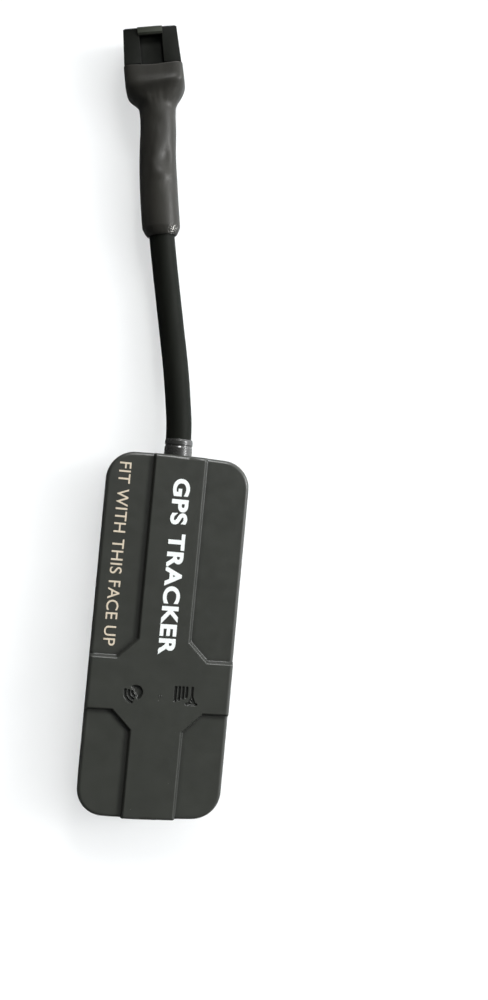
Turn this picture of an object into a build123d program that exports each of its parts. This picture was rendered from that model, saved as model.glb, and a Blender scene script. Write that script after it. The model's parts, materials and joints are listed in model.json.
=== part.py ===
"""Wired vehicle GPS tracker: a flat case with its electronics, and a sleeved cable with a four-way connector.

Frame, in millimetres: the origin is the centre of the case's underside, +Y runs along the case to the cable
end, and +Z is the face that looks at the sky. Every piece is modelled where it lies.
"""

from build123d import *
from math import atan2, degrees, hypot, pi, radians, sqrt, tan
import os

# Case
CASE_LENGTH = 83.6
CASE_WIDTH = 33.0
CASE_HEIGHT = 12.0
END_CROWN = 0.5
CORNER_RADIUS = 6.4
EDGE_FILLET = 0.9
FOOT_FILLET = 0.6
WALL = 1.8
FLOOR = 1.5
ROOF = 1.6
PARTING_Z = 6.0

# Raised cross on the cover: a lengthwise band and one arm, standing over four corner panels
STEP_HEIGHT = 1.0
STEP_SLOPE = 0.5
STEP_ROUND = 0.3
BAND_HALF = 5.93
ARM_Y = (-17.08, -5.09)
CROSS_CHAMFER = 4.4
PANEL_Z = CASE_HEIGHT - STEP_HEIGHT
ROOF_Z = PANEL_Z - ROOF

# Engraved icons, each over an LED in its own light well
ICON_X, ICON_Y = 6.0, -13.1
ICON_DEPTH = 0.35
ICON_PEN = 0.3
ICON_LEAN = 28.0
DISH_RADIUS = 1.4
DISH_DEPTH = 0.6
WELL_RADIUS = (1.7, 2.4)
WELL_Z = (7.0, CASE_HEIGHT - 0.9)

# Seam: a fine groove outside; inside, the cover's lip presses a gasket on a ledge of the bottom shell
LIP_INSET = 1.0
SEAM_GAP = 0.05
LIP_Z = 5.4
SEAM_DEPTH = 0.18
SEAM_HALF = 0.1
LEDGE_Z = 4.8

# Case screws, from below into blind bosses of the cover
BOSS_X, BOSS_Y = 11.7, 36.7
BOSS_RADIUS = 2.2
BOSS_Z = 5.0
BOSS_FOOT = (2.8, 2.9)
SCREW_RADIUS = 1.0
SCREW_TIP_Z = 8.2
SCREW_HEAD_RADIUS = 1.9
SCREW_HEAD_Z = (0.3, 1.6)
SCREW_RECESS = (1.1, 0.6)
RECESS_SHARE = 0.22

# Fits: how deep a joined feature sinks in, how far a cut runs past, and the gaps of the screws
SINK = 0.1
OVERRUN = 1.0
SCREW_GAP = 0.15
HEAD_GAP = 0.1
TIP_GAP = 0.3
TOLERANCE = 0.001

# Rating label in a shallow pocket of the underside
LABEL_SIZE = (23.0, 39.0)
LABEL_Y = -4.0
LABEL_POCKET = 0.25
LABEL_THICKNESS = 0.15
LABEL_MARGIN = 0.5

# Circuit board and what stands on it
BOARD_Z = (3.2, 4.2)
BOARD_X = 14.2
BOARD_Y = (-38.8, 33.8)
BOARD_TOP = BOARD_Z[1]
BOARD_SCREW_X, BOARD_SCREW_Y = 12.0, 31.8
BOARD_SCREW_RADIUS = 0.8
BOARD_SCREW_DEPTH = 0.5
BOARD_SCREW_HEAD = (1.5, 1.0)
BOARD_SCREW_RECESS = (0.8, 0.4)
BOARD_HOLE_RADIUS = 1.0
STAND_RADIUS = 1.9
PAD_RADIUS = 1.1
BOARD_PADS = ((12.8, -32.4), (-12.8, -32.4), (13.0, 2.2), (-13.0, 5.2))
PATCH_CENTRE = (-4.8, 13.0)
PATCH_SIZE = (18.0, 18.0, 4.0)
MODEM_CENTRE = (-5.0, -4.15)
MODEM_SIZE = (17.6, 15.7, 0.8)
SHIELD_SIZE = (16.6, 14.7, 1.6)
SHEET_METAL = 0.2
ELECTRODE_MARGIN = 2.0
ELECTRODE_THICKNESS = 0.05
FEED_PIN = (1.2, 0.7, 0.3)
LED_SIZE = (1.6, 1.0, 0.7)
CAPACITOR_CENTRE = (7.7, 29.0)
CAPACITOR_BASE = (4.2, 4.2, 0.6)
CAPACITOR_HEIGHT = 4.6
CAPACITOR_ROUND = 0.25
SIM_CENTRE = (9.2, -3.75)
SIM_SIZE = (8.8, 12.3, 0.67)
SIM_Z = 4.55
SIM_CORNER_CUT = 1.65
SIM_BASE_HEIGHT = 0.28
SIM_CONTACT_SIZE = (1.0, 2.0, 0.04)
SIM_CONTACT_X = (-2.6, 0.0, 2.6)
SIM_CONTACT_Y = (-3.0, 1.4)
SIM_SHELL_SIDE = 0.4
SIM_SHELL_SHEET = 0.25
SIM_SHELL_ROOF = (0.1, 0.3)
SIM_SHELL_BACK = 0.5
SIM_FINGER_ROOM = 0.8
SWITCH_CENTRE = (-10.4, -15.0)
SWITCH_SIZE = (6.7, 2.7, 1.5)
SWITCH_TRAVEL = 2.0
SWITCH_SLOT = (1.75, 0.65, 0.5)
SLIDER_HALF = (0.65, 0.55)
SLIDER_Z = (0.55, 2.4)
SLIDER_CHAMFER = 0.15
BATTERY_X, BATTERY_Y, BATTERY_Z = (-9.2, 9.2), (-38.4, -17.6), (4.4, 8.4)
BATTERY_CAP_Y = -16.7
BATTERY_CAP_X = (-6.6, 8.0)
BATTERY_CAP_INSET = (0.5, 0.7)
BATTERY_ROUND = 1.2
CABLE_HEADER = (0.0, 26.2)
CABLE_HEADER_PITCH = 2.0
BATTERY_HEADER = (11.0, -15.0)
BATTERY_HEADER_PITCH = 1.25
HEADER_HEIGHT = 2.7
HEADER_HALF_DEPTH = 2.6
HEADER_MARGIN = 1.6
HEADER_WALL = 0.5
HEADER_FLOOR = 0.4
HEADER_ROOF = 0.35
HEADER_BACK = 1.0
PLUG_GAP = 0.1
PLUG_BACK_GAP = 0.3
PLUG_OUT = 0.6
PLUG_BORE = 2.0
PIN_HALF = 0.2
PIN_SHORT = 2.4
LEAD_RADIUS = 0.4
LEAD_BEND = 0.6
LEAD_GAP = 0.02

# Cable and the gland that leads it through the case's end wall
CABLE_X, CABLE_Z = -0.4, 6.0
JACKET_RADIUS = 3.0
CORE_RADIUS = 0.65
CORE_OFFSET = 0.95
CORE_BEND = 1.0
CORES = {"core_black": (-1, -1), "core_red": (-1, 1), "core_yellow": (1, 1), "core_white": (1, -1)}
GLAND_NECK = 3.7
GLAND_RING = 3.25
GLAND_GROOVE = 3.1
GLAND_FLANGE = 4.2
GLAND_FLANGE_DEPTH = 2.0

# Connector, in its own frame: rear face at Y 0, mating face at +Y
CONNECTOR_REAR = (-13.45, 127.0, 5.0)
CONNECTOR_HEADING = 10.5
CONNECTOR_ROLL = 8.0
CONNECTOR_LENGTH = 13.2
CONNECTOR_REAR_SIZE = (12.4, 6.8)
CONNECTOR_SHELL_Y = 4.8
CONNECTOR_SHELL_WIDTHS = (13.2, 12.3)
CONNECTOR_SHELL_HEIGHT = 7.4
CHANNEL_HALF = 2.65
CHANNEL_DEPTH = 1.0
CATCH_Y = (11.3, 13.1)
CATCH_Z = (-0.55, 0.5)
CATCH_SIDE = 0.2
CATCH_CHAMFER = 0.35
REAR_ROUND = 0.8
FRONT_CHAMFER = 0.45
SHROUD_X = 5.45
SHROUD_Y = 3.6
SHROUD_Z = (-2.95, 1.95)
PIN_PITCH = 2.5
PIN_Z = -0.4
PIN_WIDTH = 0.64
PIN_TIP_Y = 7.8
BARREL_HALF = 0.85
BARREL_START = 0.4
CRIMP_END = 2.0
WAY_GAP = 0.1
PIN_CHAMFER = 0.18

# Heat-shrink sleeve over the cable's end and the connector's rear
SLEEVE_RADIUS = 4.15
SLEEVE_NECK = 3.2
SLEEVE_OVERLAP = 4.5
SLEEVE_SKIN = 0.6


CONNECTOR_PLACE = Pos(*CONNECTOR_REAR) * Rot(Z=CONNECTOR_HEADING) * Rot(Y=-CONNECTOR_ROLL)


def connector_point(x, y, z):
    """A point of the connector's own frame, in the tracker's frame."""
    return tuple((CONNECTOR_PLACE * Pos(x, y, z)).position)


# Route of the cable, from its cut end inside the case to the neck of the sleeve
ROUTE = [
    (CABLE_X, 36.5, CABLE_Z),
    (CABLE_X, 46.6, CABLE_Z),
    (-1.4, 54.5, 5.6),
    (-2.7, 63.0, 4.5),
    (-4.4, 71.5, 3.7),
    (-6.1, 80.0, 3.4),
    (-7.9, 88.5, 3.9),
    (-9.5, 97.0, 4.4),
    (-10.7, 105.0, 4.5),
    (-11.6, 112.0, 4.6),
    connector_point(0, -SLEEVE_NECK - 4.4, 0),
    connector_point(0, -SLEEVE_NECK, 0),
]
JACKET_END = 9
SLEEVE_CORNER = 7
ARC_SHARE = 0.45


def block(x, y, z):
    """A box between two values along each axis."""
    size = [b - a for a, b in (x, y, z)]
    return Pos(*[(a + b) / 2 for a, b in (x, y, z)]) * Box(*size)


def chip(centre, size, low=BOARD_TOP):
    """A box of that size standing on a level, centred on a point of the board."""
    return Pos(centre[0], centre[1], low + size[2] / 2) * Box(*size)


def rod(x, y, radius, z):
    """An upright cylinder between two heights."""
    return Pos(x, y, (z[0] + z[1]) / 2) * Cylinder(radius, z[1] - z[0])


def rod_along_y(radius, y, x=CABLE_X, z=CABLE_Z):
    """A cylinder lying along Y between two values."""
    return Pos(x, (y[0] + y[1]) / 2, z) * Rot(X=90) * Cylinder(radius, y[1] - y[0])


def case_slab(inset, z):
    """The case's outline, with slightly crowned ends, drawn in by an inset, between two heights."""
    x, end = CASE_WIDTH / 2 - inset, CASE_LENGTH / 2 - inset
    shoulder = end - END_CROWN
    outline = Curve() + [
        Line((-x, -shoulder), (-x, shoulder)),
        ThreePointArc((-x, shoulder), (0, end), (x, shoulder)),
        Line((x, shoulder), (x, -shoulder)),
        ThreePointArc((x, -shoulder), (0, -end), (-x, -shoulder)),
    ]
    face = make_face(outline)
    face = fillet(face.vertices(), CORNER_RADIUS - inset)
    return extrude(Pos(0, 0, z[0]) * face, z[1] - z[0])


def case_ring(outer, inner, z):
    """A ring that follows the case's outline between two insets."""
    return case_slab(outer, z) - case_slab(inner, z)


def gland_hole():
    """The round hole of the case's end wall, shared by both shells."""
    return rod_along_y(GLAND_NECK, (CASE_LENGTH / 2 - WALL - OVERRUN / 2, CASE_LENGTH / 2 + OVERRUN))


def four(x, y):
    """The four points that mirror one point in both directions."""
    return [(x, y), (-x, y), (x, -y), (-x, -y)]


def cross_outline(grow, z):
    """The cross seen from above, grown sideways by an amount and running past the case's outline."""
    b = BAND_HALF + grow
    low, high = ARM_Y[0] - grow, ARM_Y[1] + grow
    c = CROSS_CHAMFER - (2 - sqrt(2)) * grow
    x, y = CASE_WIDTH, CASE_LENGTH
    right = [(b, -y), (b, low - c), (b + c, low), (x, low), (x, high), (b + c, high), (b, high + c), (b, y)]
    left = [(-px, py) for px, py in reversed(right)]
    return Pos(0, 0, z) * make_face(Polyline(*right, *left, close=True))


def cross_prism():
    """The cross as a solid: upright sides up to the panels and sloping sides above them."""
    half = STEP_SLOPE / 2
    foot = extrude(cross_outline(half, PARTING_Z), PANEL_Z - PARTING_Z)
    return foot + loft([cross_outline(half, PANEL_Z), cross_outline(-half, CASE_HEIGHT)], ruled=True)


def rounded_slab(top):
    """The cover's outer block up to a height, with its top edge rounded."""
    body = case_slab(0, (PARTING_Z, top))
    return fillet(body.faces().sort_by(Axis.Z)[-1].edges(), EDGE_FILLET)


def step_edges(shell, z):
    """The cross's straight edges at one level, without those on the case's outline."""
    inner_x, inner_y = CASE_WIDTH / 2 - EDGE_FILLET - SINK, CASE_LENGTH / 2 - 2 * EDGE_FILLET
    found = []
    for edge in shell.edges().filter_by(GeomType.LINE):
        middle, box = edge.center(), edge.bounding_box()
        level = abs(box.min.Z - z) < TOLERANCE and abs(box.max.Z - z) < TOLERANCE
        if level and abs(middle.X) < inner_x and abs(middle.Y) < inner_y:
            found.append(edge)
    return found


def stroke(start, end):
    """A straight pen stroke with round ends."""
    run_x, run_y = end[0] - start[0], end[1] - start[1]
    place = Pos((start[0] + end[0]) / 2, (start[1] + end[1]) / 2) * Rot(Z=degrees(atan2(run_y, run_x)))
    return place * SlotOverall(hypot(run_x, run_y) + ICON_PEN, ICON_PEN)


def groove(outline, depth=ICON_DEPTH):
    """An outline sunk in the cover's top, with walls that lean outwards."""
    return extrude(Pos(0, 0, CASE_HEIGHT - depth) * outline, depth, taper=-ICON_LEAN)


def dish_icon():
    """A dish as a half disc, with three waves in front of it."""
    facing, half_angle = 210, 42
    place = Pos(0.6, 0.25)
    half_disc = Circle(DISH_RADIUS) & (Pos(DISH_RADIUS, 0) * Rectangle(2 * DISH_RADIUS, 2 * DISH_RADIUS))
    marks = [groove(place * Rot(Z=facing - 180) * half_disc, DISH_DEPTH)]
    for radius in (0.8, 1.6, 2.4):
        wave = SlotArc(CenterArc((0, 0), radius, facing - half_angle, 2 * half_angle), ICON_PEN)
        marks.append(groove(place * wave))
    return marks


def mast_icon():
    """Four signal bars hanging from one line, beside a braced mast."""
    top, foot, waist, mast_x = 1.95, -1.75, 0.1, 1.45
    bars = ((-2.35, 3.0), (-1.5, 2.75), (-0.65, 2.45), (0.2, 2.15))
    lines = [((x, top), (x, top - length)) for x, length in bars]
    lines += [((mast_x, top), (mast_x, waist)), ((0.35, foot), (2.55, foot)), ((1.1, -0.8), (2.1, foot))]
    lines += [((mast_x, waist), (x, foot)) for x in (0.75, 2.15)]
    return [groove(stroke(start, end)) for start, end in lines]


def top_cover():
    """Upper shell: raised cross, engraved icons over light wells, lip for the gasket and screw bosses."""
    shell = rounded_slab(PANEL_Z) + (rounded_slab(CASE_HEIGHT) & cross_prism())
    shell = fillet(step_edges(shell, CASE_HEIGHT), STEP_ROUND)
    shell = fillet(step_edges(shell, PANEL_Z), STEP_ROUND)
    shell -= case_slab(WALL, (PARTING_Z, ROOF_Z))
    band = extrude(cross_outline(STEP_SLOPE / 2 - ROOF, ROOF_Z), STEP_HEIGHT)
    shell -= band & case_slab(WALL, (ROOF_Z, ROOF_Z + STEP_HEIGHT))
    shell += case_ring(LIP_INSET, WALL, (LIP_Z, PARTING_Z))
    for x, y in four(BOSS_X, BOSS_Y):
        shell += rod(x, y, BOSS_RADIUS, (BOSS_Z, ROOF_Z + SINK))
        shell -= rod(x, y, SCREW_RADIUS, (BOSS_Z, SCREW_TIP_Z + TIP_GAP))
    for x, icon in ((-ICON_X, dish_icon()), (ICON_X, mast_icon())):
        shell += rod(x, ICON_Y, WELL_RADIUS[1], (WELL_Z[0], ROOF_Z + STEP_HEIGHT + SINK))
        shell -= rod(x, ICON_Y, WELL_RADIUS[0], WELL_Z)
        shell -= [Pos(x, ICON_Y, 0) * mark for mark in icon]
    return shell - gland_hole() - case_ring(-OVERRUN, SEAM_DEPTH, (PARTING_Z, PARTING_Z + SEAM_HALF))


def bottom_case():
    """Lower shell: underside with a label pocket, ledge for the gasket, screw bosses and board supports."""
    shell = case_slab(0, (0, PARTING_Z))
    shell = fillet(shell.faces().sort_by(Axis.Z)[0].edges(), FOOT_FILLET)
    shell -= case_slab(WALL, (FLOOR, PARTING_Z))
    shell -= case_slab(LIP_INSET - SEAM_GAP, (LEDGE_Z, PARTING_Z))
    pocket = [side + 2 * LABEL_MARGIN for side in LABEL_SIZE]
    shell -= chip((0, LABEL_Y), (*pocket, LABEL_POCKET), 0)
    for x, y in four(BOSS_X, BOSS_Y):
        shell += rod(x, y, BOSS_FOOT[0], (FLOOR / 2, BOSS_FOOT[1])) & case_slab(WALL / 2, (0, BOSS_Z))
        shell += rod(x, y, BOSS_RADIUS, (FLOOR, BOSS_Z))
        shell -= rod(x, y, SCREW_HEAD_RADIUS + HEAD_GAP, (0, SCREW_HEAD_Z[1]))
        shell -= rod(x, y, SCREW_RADIUS + SCREW_GAP, (SCREW_HEAD_Z[1], BOSS_Z))
    for x in (BOARD_SCREW_X, -BOARD_SCREW_X):
        shell += rod(x, BOARD_SCREW_Y, STAND_RADIUS, (FLOOR, BOARD_Z[0]))
        shell -= rod(x, BOARD_SCREW_Y, BOARD_SCREW_RADIUS, (FLOOR - BOARD_SCREW_DEPTH - HEAD_GAP, BOARD_Z[0]))
    for x, y in BOARD_PADS:
        shell += rod(x, y, PAD_RADIUS, (FLOOR, BOARD_Z[0]))
    return shell - gland_hole() - case_ring(-OVERRUN, SEAM_DEPTH, (PARTING_Z - SEAM_HALF, PARTING_Z))


def case_gasket():
    """Silicone ring between the ledge and the lip, parted where the cable gland fills the seam."""
    return case_ring(LIP_INSET, WALL, (LEDGE_Z, LIP_Z)) - gland_hole()


def cross_recess(x, y, size, low):
    """The driver recess of a screw head, of that reach and depth."""
    reach, depth = size
    narrow = 2 * reach * RECESS_SHARE
    return chip((x, y), (2 * reach, narrow, depth), low) + chip((x, y), (narrow, 2 * reach, depth), low)


def case_screws():
    """Four pan-head screws, heads sunk in the underside."""
    low, high = SCREW_HEAD_Z
    group = []
    for x, y in four(BOSS_X, BOSS_Y):
        head = rod(x, y, SCREW_HEAD_RADIUS, SCREW_HEAD_Z) - cross_recess(x, y, SCREW_RECESS, low)
        group.append(head + rod(x, y, SCREW_RADIUS, (high, SCREW_TIP_Z)))
    return Compound(children=group)


def board_screws():
    """Two screws that hold the board to the bottom shell."""
    radius, height = BOARD_SCREW_HEAD
    top = BOARD_TOP + height
    group = []
    for x in (BOARD_SCREW_X, -BOARD_SCREW_X):
        head = rod(x, BOARD_SCREW_Y, radius, (BOARD_TOP, top))
        head -= cross_recess(x, BOARD_SCREW_Y, BOARD_SCREW_RECESS, top - BOARD_SCREW_RECESS[1])
        group.append(head + rod(x, BOARD_SCREW_Y, BOARD_SCREW_RADIUS, (FLOOR - BOARD_SCREW_DEPTH, BOARD_TOP)))
    return Compound(children=group)


def circuit_board():
    """Main board, notched round the two far screw bosses and drilled for its own screws."""
    board = block((-BOARD_X, BOARD_X), BOARD_Y, BOARD_Z)
    notch = BOSS_RADIUS + TIP_GAP
    for side in (-1, 1):
        edges = sorted((side * (BOSS_X - notch), side * (BOARD_X + OVERRUN)))
        board -= block(edges, (BOARD_Y[0] - OVERRUN, notch - BOSS_Y), BOARD_Z)
        board -= rod(side * BOARD_SCREW_X, BOARD_SCREW_Y, BOARD_HOLE_RADIUS, BOARD_Z)
    return board


def patch_electrode():
    """Silvered square on the ceramic patch, with the head of its feed pin."""
    top = BOARD_TOP + PATCH_SIZE[2]
    side = PATCH_SIZE[0] - 2 * ELECTRODE_MARGIN
    offset, radius, height = FEED_PIN
    square = chip(PATCH_CENTRE, (side, side, ELECTRODE_THICKNESS), top)
    return square + rod(PATCH_CENTRE[0] + offset, PATCH_CENTRE[1], radius, (top, top + height))


def modem_shield():
    """Drawn metal lid over the modem, open below."""
    low = BOARD_TOP + MODEM_SIZE[2]
    lid = chip(MODEM_CENTRE, SHIELD_SIZE, low)
    lid = fillet(lid.edges().filter_by(Axis.Z), 0.6)
    x, y, z = SHIELD_SIZE
    return lid - chip(MODEM_CENTRE, (x - 2 * SHEET_METAL, y - 2 * SHEET_METAL, z - SHEET_METAL), low)


def sim_holder_base():
    """Insulating base between the board and the card."""
    return chip((SIM_CENTRE[0], SIM_CENTRE[1] - 0.2), (SIM_SIZE[0] + 0.2, SIM_SIZE[1] - 1.5, SIM_BASE_HEIGHT))


def sim_contacts():
    """Six spring contacts under the card."""
    places = [(SIM_CENTRE[0] + dx, SIM_CENTRE[1] + dy) for dx in SIM_CONTACT_X for dy in SIM_CONTACT_Y]
    return Compound(children=[chip(place, SIM_CONTACT_SIZE, BOARD_TOP + SIM_BASE_HEIGHT) for place in places])


def sim_holder_shell():
    """Metal cover of the card holder: top sheet, side walls and back stop, open towards +Y."""
    cx, cy = SIM_CENTRE
    half_x, half_y = SIM_SIZE[0] / 2 + SIM_SHELL_SIDE, SIM_SIZE[1] / 2
    back, front = cy - half_y - SIM_SHELL_BACK, cy + half_y - SIM_FINGER_ROOM
    ceiling, top = [SIM_Z + SIM_SIZE[2] + rise for rise in SIM_SHELL_ROOF]
    inner_x = half_x - SIM_SHELL_SHEET
    outer = block((cx - half_x, cx + half_x), (back, front), (BOARD_TOP, top))
    return outer - block((cx - inner_x, cx + inner_x), (back + SIM_SHELL_SHEET, front), (BOARD_TOP, ceiling))


def sim_card():
    """Card with one cut corner."""
    low_x, low_y = SIM_CENTRE[0] - SIM_SIZE[0] / 2, SIM_CENTRE[1] - SIM_SIZE[1] / 2
    high_x, high_y = low_x + SIM_SIZE[0], low_y + SIM_SIZE[1]
    cut = SIM_CORNER_CUT
    near = [(low_x, low_y), (high_x - cut, low_y), (high_x, low_y + cut)]
    corners = [*near, (high_x, high_y), (low_x, high_y)]
    return extrude(Pos(0, 0, SIM_Z) * make_face(Polyline(*corners, close=True)), SIM_SIZE[2])


def switch_housing():
    """Battery isolating switch without its slider."""
    x, y = SWITCH_CENTRE
    half_x, half_y, rise = SWITCH_SLOT
    slot_z = (BOARD_TOP + rise, BOARD_TOP + SWITCH_SIZE[2])
    slot = block((x - half_x, x + half_x), (y - half_y, y + half_y), slot_z)
    return chip(SWITCH_CENTRE, SWITCH_SIZE) - slot


def switch_slider():
    """Slider of the battery switch, at the end of its slot where the battery is on."""
    x, y = SWITCH_CENTRE[0] + SWITCH_TRAVEL / 2, SWITCH_CENTRE[1]
    half_x, half_y = SLIDER_HALF
    low, high = [BOARD_TOP + rise for rise in SLIDER_Z]
    knob = block((x - half_x, x + half_x), (y - half_y, y + half_y), (low, high))
    return chamfer(knob.faces().sort_by(Axis.Z)[-1].edges(), SLIDER_CHAMFER)


def battery_cell():
    """Flat lithium pouch cell with softened edges."""
    cell = block(BATTERY_X, BATTERY_Y, BATTERY_Z)
    return fillet(cell.edges().filter_by(Axis.Y), BATTERY_ROUND)


def battery_cap():
    """Folded edge of the pouch with its protection strip."""
    low, high = BATTERY_Z
    below, above = BATTERY_CAP_INSET
    return block(BATTERY_CAP_X, (BATTERY_Y[1], BATTERY_CAP_Y), (low + below, high - above))


def way_places(ways, pitch):
    """The places of a connector's ways across its width."""
    return [pitch * (i - (ways - 1) / 2) for i in range(ways)]


def header_set(centre, ways, pitch, turn):
    """A side-entry header, its plug and its pins, open towards +Y before the turn."""
    outer = pitch * (ways - 1) / 2 + HEADER_MARGIN
    inner = outer - HEADER_WALL
    rear, front, mid_z = -HEADER_HALF_DEPTH, HEADER_HALF_DEPTH, HEADER_HEIGHT / 2
    stop = rear + HEADER_BACK
    low, high = HEADER_FLOOR, HEADER_HEIGHT - HEADER_ROOF
    header = block((-outer, outer), (rear, front), (0, HEADER_HEIGHT))
    header -= block((-inner, inner), (stop, front), (low, high))
    plug_y = (stop + PLUG_BACK_GAP, front + PLUG_OUT)
    plug = block((PLUG_GAP - inner, inner - PLUG_GAP), plug_y, (low + PLUG_GAP, high - PLUG_GAP))
    pins = []
    pin_y, pin_z = (rear, front - PIN_SHORT), (mid_z - PIN_HALF, mid_z + PIN_HALF)
    for x in way_places(ways, pitch):
        pin = block((x - PIN_HALF, x + PIN_HALF), pin_y, pin_z)
        header -= pin
        plug -= pin
        plug -= rod_along_y(lead_hole(ways), (front - PLUG_BORE, front + PLUG_OUT), x, mid_z)
        pins.append(pin)
    place = Pos(centre[0], centre[1], BOARD_TOP) * Rot(Z=turn)
    return place * header, place * plug, [place * pin for pin in pins]


def lead_hole(ways):
    """The bore of a plug's ways: cores in the four-way plug, battery leads in the two-way one."""
    return (CORE_RADIUS if ways == 4 else LEAD_RADIUS) + LEAD_GAP


def battery_lead(side):
    """One lead from the cell's protection strip to its plug, with a single bend."""
    header_x, header_y = BATTERY_HEADER
    lane_y, height = header_y + side * BATTERY_HEADER_PITCH / 2, BOARD_TOP + HEADER_HEIGHT / 2
    leave_x = 5.4 - 0.8 * side
    points = [(leave_x, BATTERY_CAP_Y, height), (leave_x, lane_y, height), (header_x - 1.2, lane_y, height)]
    return swept_tube(FilletPolyline(*points, radius=LEAD_BEND), LEAD_RADIUS)


def corner_radii(points):
    """For each inner point the radius whose arc takes the same share of the shorter run beside it."""
    found = []
    for before, at, after in zip(points, points[1:], points[2:]):
        first, second = Vector(*at) - Vector(*before), Vector(*after) - Vector(*at)
        half_turn = radians(first.get_angle(second)) / 2
        found.append(ARC_SHARE * min(first.length, second.length) / tan(half_turn))
    return found


def swept_tube(path, radius):
    """A round solid swept along a path."""
    section = Plane(origin=path @ 0, z_dir=path % 0) * Circle(radius)
    return sweep(section, path=path)


def cable_gland():
    """Moulded strain relief: flange inside the wall, neck in the wall and two tapered rings outside it."""
    outside = CASE_LENGTH / 2
    inside = outside - WALL
    profile = [
        (JACKET_RADIUS, inside - GLAND_FLANGE_DEPTH),
        (GLAND_FLANGE, inside - GLAND_FLANGE_DEPTH),
        (GLAND_FLANGE, inside - 0.1),
        (GLAND_NECK, inside - 0.1),
        (GLAND_NECK, outside - 0.15),
        (GLAND_RING, outside - 0.15),
        (GLAND_RING, outside + 1.9),
        (GLAND_GROOVE, outside + 2.2),
        (GLAND_GROOVE, outside + 2.5),
        (GLAND_RING, outside + 2.6),
        (GLAND_RING, outside + 3.4),
        (GLAND_GROOVE, outside + 3.9),
        (JACKET_RADIUS, outside + 3.9),
    ]
    face = make_face(Polyline(*profile, close=True))
    return Pos(CABLE_X, 0, CABLE_Z) * revolve(face, Axis.Y)


def cable_jacket():
    """The cable's outer jacket, as a plain round solid."""
    path = FilletPolyline(*ROUTE[: JACKET_END + 1], radius=corner_radii(ROUTE)[: JACKET_END - 1])
    jacket = swept_tube(path, JACKET_RADIUS)
    share = jacket.volume / (pi * JACKET_RADIUS**2 * path.length)
    print(f"jacket: {path.length:.1f} mm long, volume over section times length {share:.4f}")
    print("arc radii of the route:", [round(r) for r in corner_radii(ROUTE)])
    return jacket


def core(place, index):
    """One insulated core where it is bare of the jacket: at the board plug, and at the connector."""
    across, up = place[0] * CORE_OFFSET, place[1] * CORE_OFFSET
    plug_x = CABLE_HEADER[0] + way_places(4, CABLE_HEADER_PITCH)[index]
    plug_y, plug_z = CABLE_HEADER[1] + 0.8, BOARD_TOP + HEADER_HEIGHT / 2
    cut_y = ROUTE[0][1]
    inner = [
        (CABLE_X + across, cut_y, CABLE_Z + up),
        (CABLE_X + across, cut_y - 1.6, CABLE_Z + up),
        (plug_x, plug_y + 4.6, plug_z),
        (plug_x, plug_y, plug_z),
    ]
    end = Vector(*ROUTE[JACKET_END])
    along = (end - Vector(*ROUTE[JACKET_END - 1])).normalized()
    side = Vector(along.Y, -along.X, 0).normalized()
    leave = end + side * across + side.cross(along) * up
    ahead = leave + along * 2.5
    pin_x = way_places(4, PIN_PITCH)[index]
    outer = [
        tuple(leave),
        tuple(ahead),
        connector_point(across, -4.2, up),
        connector_point(pin_x, -0.6, PIN_Z),
        connector_point(pin_x, CRIMP_END, PIN_Z),
    ]
    tubes = [swept_tube(FilletPolyline(*points, radius=CORE_BEND), CORE_RADIUS) for points in (inner, outer)]
    return Compound(children=tubes)


def connector_housing():
    """Shrouded housing: latch channel between two shoulders, a catch bar across it, and four ways."""
    rear_w, rear_h = CONNECTOR_REAR_SIZE
    start, end = CONNECTOR_SHELL_Y, CONNECTOR_LENGTH
    top = CONNECTOR_SHELL_HEIGHT / 2
    back_w, front_w = [width / 2 for width in CONNECTOR_SHELL_WIDTHS]
    rear = block((-rear_w / 2, rear_w / 2), (0, start), (-rear_h / 2, rear_h / 2))
    rear = fillet(rear.edges().filter_by(Axis.Y), REAR_ROUND)
    plan = make_face(Polyline((-back_w, start), (back_w, start), (front_w, end), (-front_w, end), close=True))
    shell = extrude(Pos(0, 0, -top) * plan, CONNECTOR_SHELL_HEIGHT)
    shell = chamfer(shell.faces().sort_by(Axis.Y)[-1].edges(), FRONT_CHAMFER)
    channel_floor = top - CHANNEL_DEPTH
    shell -= block((-CHANNEL_HALF, CHANNEL_HALF), (start, end), (channel_floor, top))
    bar_half = CHANNEL_HALF + CATCH_SIDE
    bar = block((-bar_half, bar_half), CATCH_Y, [top + rise for rise in CATCH_Z])
    bar = chamfer(bar.edges().filter_by(Axis.X).sort_by(Axis.Z)[-2:], CATCH_CHAMFER)
    housing = rear + shell + bar
    housing -= block((-SHROUD_X, SHROUD_X), (SHROUD_Y, end), SHROUD_Z)
    for x in way_places(4, PIN_PITCH):
        way = BARREL_HALF + WAY_GAP
        housing -= block((x - way, x + way), (0, SHROUD_Y), (PIN_Z - way, PIN_Z + way))
    return CONNECTOR_PLACE * housing


def connector_pins():
    """Four crimped terminals: a barrel in the housing's way and a square pin that stands in the shroud."""
    group = []
    for x in way_places(4, PIN_PITCH):
        half = BARREL_HALF
        barrel = block((x - half, x + half), (BARREL_START, SHROUD_Y), (PIN_Z - half, PIN_Z + half))
        barrel -= rod_along_y(CORE_RADIUS, (BARREL_START, CRIMP_END), x, PIN_Z)
        half = PIN_WIDTH / 2
        pin = block((x - half, x + half), (SHROUD_Y, PIN_TIP_Y), (PIN_Z - half, PIN_Z + half))
        pin = chamfer(pin.faces().sort_by(Axis.Y)[-1].edges(), PIN_CHAMFER)
        group.append(CONNECTOR_PLACE * (barrel + pin))
    return Compound(children=group)


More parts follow.
